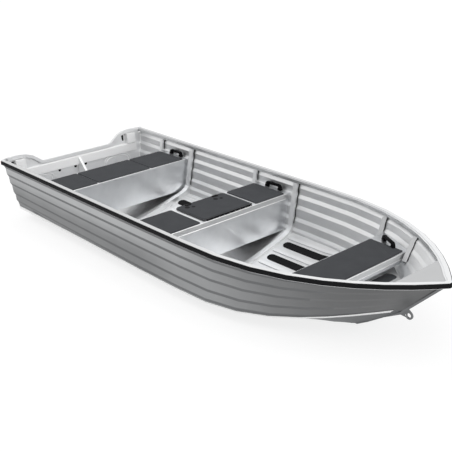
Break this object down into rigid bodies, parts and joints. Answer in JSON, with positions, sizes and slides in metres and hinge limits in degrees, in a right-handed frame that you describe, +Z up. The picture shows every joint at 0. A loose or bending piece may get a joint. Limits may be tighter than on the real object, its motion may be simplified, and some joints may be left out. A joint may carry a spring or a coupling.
{
  "type": "open aluminium boat",
  "caption": "Open aluminium boat with a V bottom, lapped side strakes, thwarts with foam pads, a hinged locker hatch, cross frames, grab handles and a motor notch in the transom.",
  "frame": {"origin": "on the centreline at the light waterline, under the top of the transom", "axes": "+X forward along the centreline, +Y to port, +Z up"},
  "size_m": [4.3914, 1.668, 0.7419],
  "materials": {
    "hull_plate": "bare satin sheet",
    "inner_plate": "bare bright sheet",
    "extrusion": "bright mill-finish extrusion",
    "black_rubber": "black, matte",
    "foam": "charcoal closed-cell foam, finely textured",
    "lid_plastic": "charcoal moulded plastic, satin",
    "black_plastic": "black, satin"
  },
  "bodies": {
    "hull": {"bottom_plate_port": "hull_plate", "bottom_plate_starboard": "hull_plate", "side_plate_port": "hull_plate", "side_plate_starboard": "hull_plate", "chine_rail_port": "extrusion", "chine_rail_starboard": "extrusion", "keel_bar": "extrusion", "stem_bar": "extrusion", "gunwale_port": "extrusion", "gunwale_starboard": "extrusion", "rub_strip_port": "black_rubber", "rub_strip_starboard": "black_rubber", "frame_rear": "inner_plate", "frame_mid": "inner_plate", "side_ribs": "inner_plate", "bow_ribs": "inner_plate", "rear_thwart": "inner_plate", "mid_thwart": "inner_plate", "bow_thwart": "inner_plate", "rear_pad_port": "foam", "rear_pad_centre": "foam", "rear_pad_starboard": "foam", "mid_pad_port": "foam", "mid_pad_starboard": "foam", "bow_pad": "foam", "hinge_fixed": "inner_plate", "transom_plate": "hull_plate", "transom_cap": "extrusion", "transom_board": "inner_plate", "transom_posts": "inner_plate", "motor_pad": "black_plastic", "transom_knee": "inner_plate", "stern_handles": "extrusion", "grab_handles": "black_plastic", "breasthook": "inner_plate", "bow_eye": "extrusion", "bow_floor_plate": "inner_plate", "bow_floor_pad": "foam", "floor_ribs": "inner_plate", "grip_strips": "black_rubber", "drain_plug": "extrusion"},
    "hatch": {"hatch_lid": "lid_plastic", "lid_pad": "foam", "lid_latches": "black_plastic", "lid_hinge": "inner_plate"}
  },
  "joints": [
    {"name": "hatch_hinge", "type": "hinge", "parent": "hull", "child": "hatch", "pos_m": [2.18, 0.06, 0.4498], "axis": [0, 1, 0], "range_deg": [0, 100]}
  ]
}
